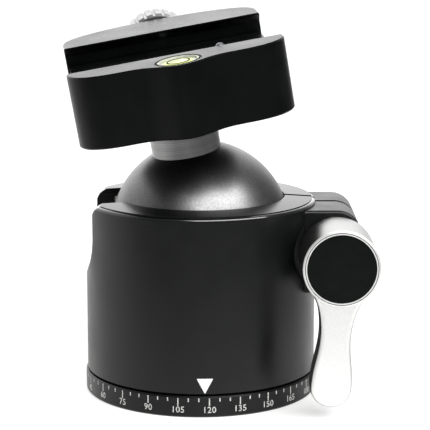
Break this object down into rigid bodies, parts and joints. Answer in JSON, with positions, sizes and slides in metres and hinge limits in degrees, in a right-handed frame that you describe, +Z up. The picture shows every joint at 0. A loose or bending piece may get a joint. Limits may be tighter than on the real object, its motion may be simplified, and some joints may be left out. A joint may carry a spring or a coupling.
{
  "type": "tripod ball head",
  "caption": "Tripod ball head: panning base with a degree scale, split clamp housing with a hanging lever, black ball, dovetail plate clamp with a bubble level.",
  "frame": {"origin": "centre of the base's underside, at the mouth of the tripod thread", "axes": "+Z up, +X through the clamping lug, -Y towards the front where the lever hangs"},
  "size_m": [0.0807, 0.0804, 0.0983],
  "materials": {
    "housing_black": "bead-blasted black anodised",
    "base_black": "turned black anodised",
    "clamp_black": "bead-blasted black anodised",
    "ball_black": "hard anodised, fine satin",
    "turned_aluminium": "fine turned",
    "lever_silver": "bead-blasted silver anodised",
    "cap_black": "satin",
    "knob_black": "black anodised",
    "knob_silver": "silver anodised",
    "bright_steel": "machined",
    "dark_steel": "black oxide",
    "brass_shoe": "machined",
    "white_polymer": "moulded",
    "level_plastic": "moulded",
    "level_liquid": "clear"
  },
  "bodies": {
    "base": {"base_plate": "base_black", "tripod_bush": "bright_steel", "base_screws": "bright_steel", "pan_spindle": "bright_steel", "spindle_nut": "bright_steel", "pan_washer": "white_polymer"},
    "housing": {"housing": "housing_black", "ball_liner": "white_polymer", "ball_cup": "white_polymer", "cup_spring": "bright_steel", "housing_floor": "base_black", "lock_shoe": "brass_shoe", "clamp_stud": "dark_steel", "lever_washer": "bright_steel", "lever_screw": "bright_steel"},
    "lever": {"main_lever": "lever_silver", "lever_nut": "bright_steel", "lever_cap": "cap_black"},
    "pan_lock": {"pan_knob": "knob_black", "pan_lock_screw": "bright_steel"},
    "ball": {"ball": "ball_black"},
    "neck": {"neck": "turned_aluminium"},
    "clamp": {"clamp_body": "clamp_black", "clamp_bolt": "dark_steel", "level_cup": "level_plastic", "level_vial": "level_liquid", "guide_pins": "bright_steel", "jaw_stud": "bright_steel"},
    "stop_pin": {"stop_pin": "bright_steel"},
    "jaw": {"moving_jaw": "clamp_black", "knob_washer": "bright_steel"},
    "clamp_knob": {"clamp_knob": "knob_silver"}
  },
  "joints": [
    {"name": "pan", "type": "hinge", "parent": "base", "child": "housing", "pos_m": [0, 0, 0.006], "axis": [0, 0, 1], "continuous": true},
    {"name": "lever_turn", "type": "hinge", "parent": "housing", "child": "lever", "pos_m": [0.0346, -0.024, 0.0388], "axis": [0, -1, 0], "range_deg": [-15, 100]},
    {"name": "pan_lock_turn", "type": "hinge", "parent": "housing", "child": "pan_lock", "pos_m": [0, 0.036, 0.0102], "axis": [0, 1, 0], "range_deg": [0, 540]},
    {"name": "ball_tip", "type": "hinge", "parent": "housing", "child": "ball", "pos_m": [0, 0, 0.0421], "axis": [-1, 0, 0], "range_deg": [-24.3, 35.7]},
    {"name": "ball_tilt", "type": "hinge", "parent": "ball", "child": "neck", "pos_m": [0, 0, 0.0421], "axis": [0, 0.9951, 0.0993], "range_deg": [-80.5, 42.5]},
    {"name": "ball_spin", "type": "hinge", "parent": "neck", "child": "clamp", "pos_m": [0, 0, 0.0421], "axis": [-0.165, -0.098, 0.9814], "continuous": true},
    {"name": "stop_pin_press", "type": "slide", "parent": "clamp", "child": "stop_pin", "axis": [0.165, 0.098, -0.9814], "range_m": [0, 0.0054], "stiffness_N_per_m": 150, "springref_m": -0.004},
    {"name": "jaw_slide", "type": "slide", "parent": "clamp", "child": "jaw", "axis": [-0.1134, 0.9903, 0.0798], "range_m": [-0.001, 0.004]},
    {"name": "clamp_knob_turn", "type": "hinge", "parent": "jaw", "child": "clamp_knob", "pos_m": [-0.01124, 0.03352, 0.08635], "axis": [-0.1134, 0.9903, 0.0798], "range_deg": [-360, 1440]}
  ],
  "couplings": [
    {"joint": "clamp_knob_turn", "follows": "jaw_slide", "rad_per_m": 6283.2}
  ]
}
